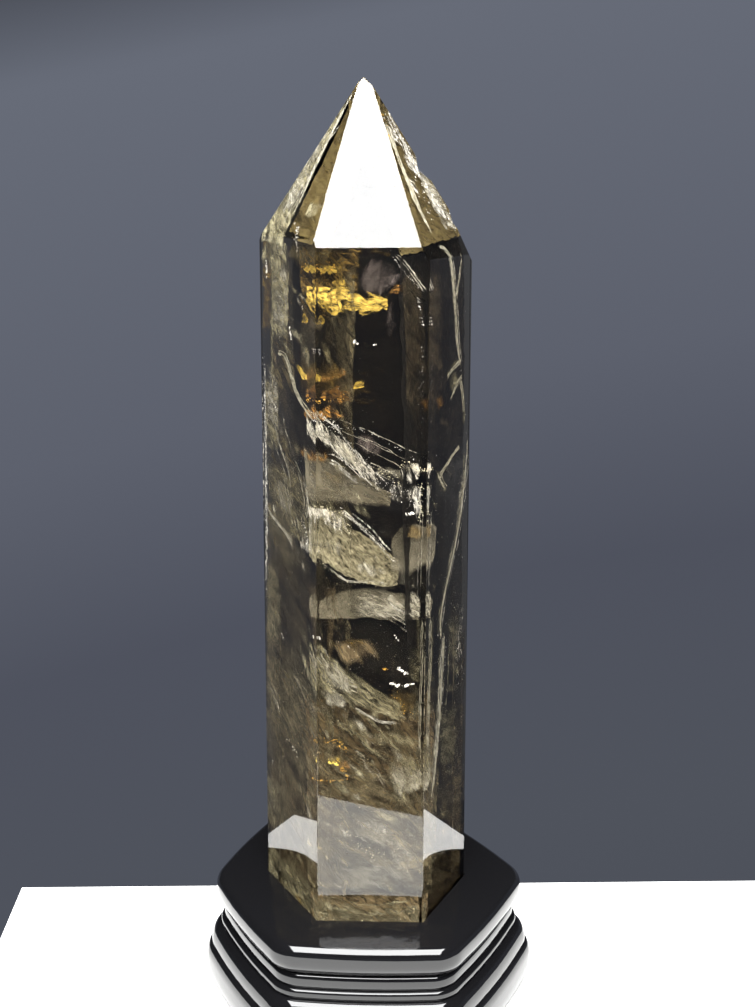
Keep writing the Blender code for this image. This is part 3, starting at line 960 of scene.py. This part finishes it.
# Loose wisps: the face they lie behind, how many, and between which heights.
WISPS = [
    ("front", 60, (4.0, 76.0)),
    ("front", 10, (98.0, 140.0)),
    ("front_left", 90, (4.0, 185.0)),
    ("front_right", 34, (4.0, 95.0)),
    ("front_right", 10, (95.0, 185.0)),
    ("back_right", 44, (4.0, 185.0)),
    ("back", 44, (4.0, 185.0)),
    ("back_left", 44, (4.0, 185.0)),
]
WISP_FINISHES = ["milkolive", "milkolive", "milkolive", "milk", "brownhaze"]
WISP_ACROSS = (-12.0, 12.0)
WISP_SLANT = (-52.0, -12.0)
WISP_REACH = (2.5, 9.0)  # from its middle to either end
WISP_THICK = (1.2, 5.0)
WISP_BOW = (-1.2, 1.2)
WISP_DEPTH = (2.0, 10.0)
WISP_COVER = (0.4, 1.0)
WISP_FADES = (0.5, 0.5, 0.5, 0.3)


def loose_wisps():
    """Short slanting wisps strewn behind each face, in the same terms as the cracks."""
    luck = random.Random(21)
    wisps = []
    for face, count, heights in WISPS:
        for _ in range(count):
            middle, height = luck.uniform(*WISP_ACROSS), luck.uniform(*heights)
            slope = math.radians(luck.uniform(*WISP_SLANT))
            reach, thick = luck.uniform(*WISP_REACH), luck.uniform(*WISP_THICK)
            bow, deep = luck.uniform(*WISP_BOW), luck.uniform(*WISP_DEPTH)
            upper = [
                (middle + part * reach * math.cos(slope), height + part * reach * math.sin(slope) + rise)
                for part, rise in ((-1.0, 0.0), (0.0, bow), (1.0, 0.0))
            ]
            lower = [(across - 0.3 * thick, up - thick) for across, up in upper]
            cover = luck.uniform(*WISP_COVER)
            finish = luck.choice(WISP_FINISHES)
            depths = (deep + luck.uniform(0.0, SINK), deep)
            wisps.append((finish, face, depths, upper, lower, WISP_FADES, cover))
    return wisps


THREAD_SPACING = 2.5
THREAD_SPOTS = 200  # how finely a path is drawn before a thread takes its share
THREAD_FADES = (0.1, 0.1, 0.25, 0.25)


def spun_threads():
    """Each thread as a narrow veil: it covers some of its path and swells and thins."""
    luck = random.Random(5)
    threads = []
    for finish, face, depth, path, count, spread, width, cover in SEAMS:
        spots = [Vector(place) for place in path]
        for _ in range(count):
            begins, ends = luck.uniform(0.0, 0.3), luck.uniform(0.7, 1.0)
            if count == 1 or luck.random() < 0.3:
                begins, ends = 0.0, 1.0
            places = max(4, round(length_of(spots) * (ends - begins) / THREAD_SPACING))
            first, last = (round((THREAD_SPOTS - 1) * share) for share in (begins, ends))
            line = smooth_path(spots, THREAD_SPOTS)[first : last + 1]
            line = [line[round(step * (len(line) - 1) / (places - 1))] for step in range(places)]
            aside = luck.gauss(0.0, spread)
            upper, lower = [], []
            for place, (before, after) in enumerate(zip([line[0], *line], [*line[1:], line[-1]])):
                along = (after - before).normalized()
                across = Vector((-along.y, along.x))
                middle = line[place] + across * (aside + luck.gauss(0.0, 0.12 * spread))
                half = 0.5 * width * luck.uniform(0.4, 1.5)
                upper.append(tuple(middle + across * half))
                lower.append(tuple(middle - across * half))
            deep = depth + luck.uniform(-0.4, 0.4)
            threads.append((finish, face, (deep, deep), upper, lower, THREAD_FADES, cover))
    return threads


def make_veils():
    """All the sheets of one finish are one piece, kept inside the crystal's faces."""
    noise.seed_set(DRIFT_SEED)
    lay_out_inside()
    hung = CRACKS + spun_threads() + loose_wisps()
    for kind, (*_, ripple) in VEIL_FINISHES.items():
        sheets = [
            hang_veil(f"{kind}_{place}", ripple, *rest)
            for place, (finish, *rest) in enumerate(hung)
            if finish == kind
        ]
        veils = join(sheets, kind + "_veils")
        trim_inside(veils, VEIL_GAP)
        veils.data.shade_smooth()
        put_in_place(veils, "crystal", veil_finish(kind))


# ---- Flakes and dust -----------------------------------------------------------------

# Each handful of dust: its finish, how many, lowest and highest, least and greatest size.
DUST = [
    ("white", 900, (3.0, 150.0), (0.08, 0.34)),
    ("cream", 1200, (3.0, 130.0), (0.08, 0.4)),
    ("white", 300, (150.0, 225.0), (0.06, 0.25)),
]
DUST_REACH = (14.0, 27.0)  # from the crystal's middle
CHIP_SHAPE = (1.0, 0.7, 0.22)
CHIP_GAP = 0.5 * MM  # chips that come nearer than this to a face are left out


def add_chip(bm, pattern, spot, size, luck):
    """One copy of the chip, turned at random."""
    turn = Euler([luck.uniform(0.0, 2.0 * math.pi) for _ in "xyz"]).to_matrix().to_4x4()
    start = len(bm.verts)
    bm.from_mesh(pattern)
    bm.verts.ensure_lookup_table()
    place = Matrix.Translation(spot) @ turn @ Matrix.Diagonal((size, size, size, 1.0))
    bmesh.ops.transform(bm, matrix=place, verts=bm.verts[start:])


def chip_of(vert):
    """All the points of the chip that a point belongs to."""
    chip, edge_of = {vert}, [vert]
    while edge_of:
        for edge in edge_of.pop().link_edges:
            for other in edge.verts:
                if other not in chip:
                    chip.add(other)
                    edge_of.append(other)
    return chip


def strew(bm, pattern, kind, luck):
    """The chips of one finish: along the healed cracks, and as dust through the body."""
    for finish, face, depth, path, count, stray, (least, most) in GLITTER:
        if finish != kind:
            continue
        places = smooth_path([behind(face, *place, depth) for place in path], 40)
        for _ in range(count):
            spot = luck.choice(places) + Vector([luck.gauss(0.0, 0.5 * stray * MM) for _ in "xyz"])
            add_chip(bm, pattern, spot, luck.triangular(least, most, least) * MM, luck)
    for finish, count, heights, (least, most) in DUST:
        if finish != kind:
            continue
        for _ in range(count):
            around = luck.uniform(0.0, 2.0 * math.pi)
            out = luck.uniform(*DUST_REACH)
            spot = above_stand(out * math.cos(around), out * math.sin(around), luck.uniform(*heights))
            add_chip(bm, pattern, spot, luck.triangular(least, most, least) * MM, luck)


def make_flakes():
    """Small bright chips, all of one finish in one piece."""
    luck = random.Random(7)
    inner = facets(-CHIP_GAP)
    for kind in FLAKE_FINISHES:
        deselect_all()
        bpy.ops.mesh.primitive_ico_sphere_add(subdivisions=1, radius=0.5)
        flake = name_piece("flake")
        edit(flake)
        bpy.ops.mesh.select_all(action="SELECT")
        bpy.ops.transform.resize(value=CHIP_SHAPE)
        finish_edit()
        pattern = flake.data
        bm = bmesh.new()
        strew(bm, pattern, kind, luck)
        near = [
            vert for vert in bm.verts if any((vert.co - spot).dot(normal) > 0.0 for spot, normal in inner)
        ]
        left_out = {linked for vert in near for linked in chip_of(vert)}
        bmesh.ops.delete(bm, geom=list(left_out), context="VERTS")
        bm.to_mesh(pattern)
        bm.free()
        flake.name = kind + "_flakes"
        pattern.name = flake.name
        put_in_place(flake, "crystal", flake_finish(kind))


# ---- The stand -----------------------------------------------------------------------

STAND_CORNERS = [
    (-47.8, -0.5), (-25.4, -41.4), (24.5, -42.9), (48.3, 0.9), (19.2, 41.8), (-28.9, 41.8),
]
SLAB_RADIUS = 47.5
SIDE_BOW = 1.5
SIDE_CUTS = 7
CORNER_ROUND = 4.5
# Each moulding's heights (its foot, where it is widest from and to, its top) and its
# radius at the foot, at its widest and at the top.
MOULDINGS = [
    (0.0, 6.0, 8.5, 12.3, 49.2, 51.3, 49.5),
    (12.3, 12.8, 13.6, 18.8, 49.2, 49.6, 46.2),
    (18.8, 19.8, 20.6, 21.8, 45.7, 46.4, 45.2),
    (21.8, 23.4, 24.4, 26.2, 44.8, 45.3, 44.0),
    (26.8, 31.2, 32.8, 36.0, 44.0, 47.5, 44.2),
]
MOULDING_STEPS = 7
RECESS_DEPTH = 8.3
RECESS_CLEARANCE = 0.4
PLUG_RISE = 5.0  # how far the plug that cuts the recess stands out of it
NEAR = 0.1 * MM
SMOOTH_UNDER = 35.0  # degrees between faces


def moulding_rings():
    """Radius and height, in millimetres, up every round of the stand's side."""
    rings = []
    turns = [0.5 * math.pi * step / MOULDING_STEPS for step in range(MOULDING_STEPS + 1)]
    for low, wide_from, wide_to, top, r_low, r_wide, r_top in MOULDINGS:
        for turn in turns:
            radius = r_low + (r_wide - r_low) * math.sin(turn)
            rings.append((radius, wide_from - (wide_from - low) * math.cos(turn)))
        for turn in turns:
            radius = r_top + (r_wide - r_top) * math.cos(turn)
            rings.append((radius, wide_to + (top - wide_to) * math.sin(turn)))
    return rings


def bearing(place):
    """Which way a place lies from the middle."""
    return math.atan2(place[1], place[0])


def draw_stand_outline():
    """A six-sided face with bowed sides and rounded corners, at the slab's size."""
    deselect_all()
    bpy.ops.mesh.primitive_circle_add(vertices=6, radius=SLAB_RADIUS * MM, fill_type="NGON")
    stand = name_piece("lacquered_stand")
    corners = sorted(STAND_CORNERS, key=bearing)
    for vert, corner in zip(sorted(stand.data.vertices, key=lambda v: bearing(v.co)), corners):
        vert.co = (corner[0] * MM, corner[1] * MM, 0.0)
    edit(stand)
    bpy.ops.mesh.select_all(action="SELECT")
    bpy.ops.mesh.subdivide(number_cuts=SIDE_CUTS, quadcorner="INNERVERT", ngon=True)
    bm = bmesh.from_edit_mesh(stand.data)
    for start, end in zip(corners, corners[1:] + corners[:1]):
        start, end = Vector((*start, 0.0)) * MM, Vector((*end, 0.0)) * MM
        along = end - start
        out = Vector((along.y, -along.x, 0.0)).normalized()
        for vert in bm.verts:
            part = (vert.co - start).dot(along) / along.length_squared
            if 0.01 < part < 0.99 and abs((vert.co - start).dot(out)) < NEAR:
                vert.co += out * SIDE_BOW * MM * 4.0 * part * (1.0 - part)
    bmesh.update_edit_mesh(stand.data)
    spots = [Vector((*corner, 0.0)) * MM for corner in corners]
    select_verts(stand, lambda v: any((v.co - spot).length < NEAR for spot in spots))
    bpy.ops.mesh.bevel(
        offset=CORNER_ROUND * MM, segments=8, profile=0.5, affect="VERTICES", clamp_overlap=False
    )
    return stand


def raise_mouldings(stand):
    """The outline is drawn up, and drawn in or out, ring by ring."""
    rings = moulding_rings()
    middle = Vector((0.0, 0.0, 0.0))
    first = rings[0][0] / SLAB_RADIUS
    bpy.ops.mesh.select_all(action="SELECT")
    bpy.ops.transform.resize(value=(first, first, 1.0), center_override=middle)
    for (radius, height), (next_radius, next_height) in zip(rings, rings[1:]):
        bpy.ops.mesh.extrude_region_move(
            TRANSFORM_OT_translate={"value": (0.0, 0.0, (next_height - height) * MM)}
        )
        grow = next_radius / radius
        bpy.ops.transform.resize(value=(grow, grow, 1.0), center_override=middle)
    bpy.ops.mesh.select_all(action="SELECT")
    bpy.ops.mesh.normals_make_consistent(inside=False)
    finish_edit()


def make_stand():
    """The drawn-up outline, with a recess cut to the crystal's own sides."""
    stand = draw_stand_outline()
    raise_mouldings(stand)
    sides = facets(RECESS_CLEARANCE * MM)[: len(SIDES)]
    bottom = STAND_TOP - RECESS_DEPTH * MM
    plug = ground_blank("recess_plug", bottom, (RECESS_DEPTH + PLUG_RISE) * MM, sides)
    apply_modifier(stand, "BOOLEAN", operation="DIFFERENCE", solver="EXACT", object=plug)
    bpy.data.objects.remove(plug)
    make_active(stand)
    bpy.ops.object.shade_smooth_by_angle(angle=math.radians(SMOOTH_UNDER))
    put_in_place(stand, "lacquer", black_lacquer(), "display_stand")


# ---- The room ------------------------------------------------------------------------

FLOOR_CORNERS = [(-121.0, 49.0), (-121.0, -208.0), (170.0, -101.0), (170.0, 55.5)]
FLOOR_COLOUR = (0.85, 0.85, 0.84, 1.0)

SOFTBOX_PLACE = (0.0, -0.42, 1.05)
SOFTBOX_AIM = (0.0, 0.0, 0.10)
SOFTBOX_SIZE = (1.0, 1.2)
SOFTBOX_POWER = 80.0

ROOM_SLANT = -0.2  # how fast the room's tones sink towards the right
# Each tone of the room: how far up it lies, from -1 to 1, and its colour.
ROOM_TONES = [
    (-1.0, (0.05, 0.055, 0.07)),
    (-0.5, (0.079, 0.087, 0.108)),
    (-0.35, (0.078, 0.085, 0.112)),
    (-0.22, (0.110, 0.120, 0.154)),
    (0.02, (0.136, 0.150, 0.188)),
    (0.12, (0.03, 0.032, 0.04)),
    (0.4, (0.008, 0.008, 0.01)),
    (1.0, (0.008, 0.008, 0.01)),
]

PICTURE_HEIGHT = 1007.0
LENS = 1500.0  # focal length, in the same steps as the picture's height
FILM_SIZE = 36.0
CAMERA_PLACE = (2.56, -411.8, 245.6)
CAMERA_DIP = 17.03
CAMERA_ROLL = 0.16

MOST_SHEETS = 32  # how many thin sheets a ray may pass


def pale_floor():
    deselect_all()
    bpy.ops.mesh.primitive_circle_add(vertices=len(FLOOR_CORNERS), radius=1.0, fill_type="NGON")
    floor = name_piece("pale_floor")
    for vert, (x, y) in zip(floor.data.vertices, FLOOR_CORNERS):
        vert.co = (x * MM, y * MM, 0.0)
    material, tree = new_material("pale_floor")
    out = node(tree, "ShaderNodeOutputMaterial")
    paint = node(tree, "ShaderNodeBsdfPrincipled", Roughness=0.6)
    paint.inputs["Base Color"].default_value = FLOOR_COLOUR
    wire(tree, (paint, 0, out, "Surface"))
    floor.data.materials.append(material)


def softbox():
    lamp_data = bpy.data.lights.new("softbox", "AREA")
    lamp_data.shape = "RECTANGLE"
    lamp_data.size, lamp_data.size_y = SOFTBOX_SIZE
    lamp_data.energy = SOFTBOX_POWER
    lamp = bpy.data.objects.new("softbox", lamp_data)
    bpy.context.scene.collection.objects.link(lamp)
    lamp.location = SOFTBOX_PLACE
    away = Vector(SOFTBOX_PLACE) - Vector(SOFTBOX_AIM)
    lamp.rotation_euler = away.to_track_quat("Z", "Y").to_euler()


def grey_room():
    """A grey room whose tones change with height, and slant a little to the right."""
    world = bpy.data.worlds.new("grey_room")
    world.use_nodes = True
    bpy.context.scene.world = world
    tree = world.node_tree
    way = node(tree, "ShaderNodeTexCoord")
    split = node(tree, "ShaderNodeSeparateXYZ")
    aside = node(tree, "ShaderNodeMath", operation="MULTIPLY_ADD")
    aside.inputs[1].default_value = ROOM_SLANT
    spread = node(tree, "ShaderNodeMapRange")
    spread.inputs["From Min"].default_value = -1.0
    ramp = node(tree, "ShaderNodeValToRGB")
    stops = ramp.color_ramp.elements
    while len(stops) < len(ROOM_TONES):
        stops.new(0.5)
    for stop, (up, tone) in zip(stops, ROOM_TONES):
        stop.position = 0.5 * (up + 1.0)
        stop.color = (*tone, 1.0)
    wire(
        tree,
        (way, "Generated", split, 0),
        (split, "X", aside, 0),
        (split, "Z", aside, 2),
        (aside, 0, spread, "Value"),
        (spread, 0, ramp, 0),
        (ramp, 0, tree.nodes["Background"], "Color"),
    )


def camera_on_the_front():
    data = bpy.data.cameras.new("camera")
    data.sensor_fit = "AUTO"
    data.sensor_width = FILM_SIZE
    data.lens = LENS / PICTURE_HEIGHT * FILM_SIZE
    camera = bpy.data.objects.new("camera", data)
    bpy.context.scene.collection.objects.link(camera)
    place = Matrix.Translation(above_stand(*CAMERA_PLACE))
    tip = Matrix.Rotation(math.radians(90.0 - CAMERA_DIP), 4, "X")
    roll = Matrix.Rotation(math.radians(CAMERA_ROLL), 4, "Z")
    camera.matrix_world = place @ tip @ roll
    bpy.context.scene.camera = camera


make_crystal()
make_veils()
make_flakes()
make_stand()
pale_floor()
grey_room()
softbox()
camera_on_the_front()
bpy.context.scene.view_settings.view_transform = "Standard"
bpy.context.scene.cycles.transparent_max_bounces = MOST_SHEETS
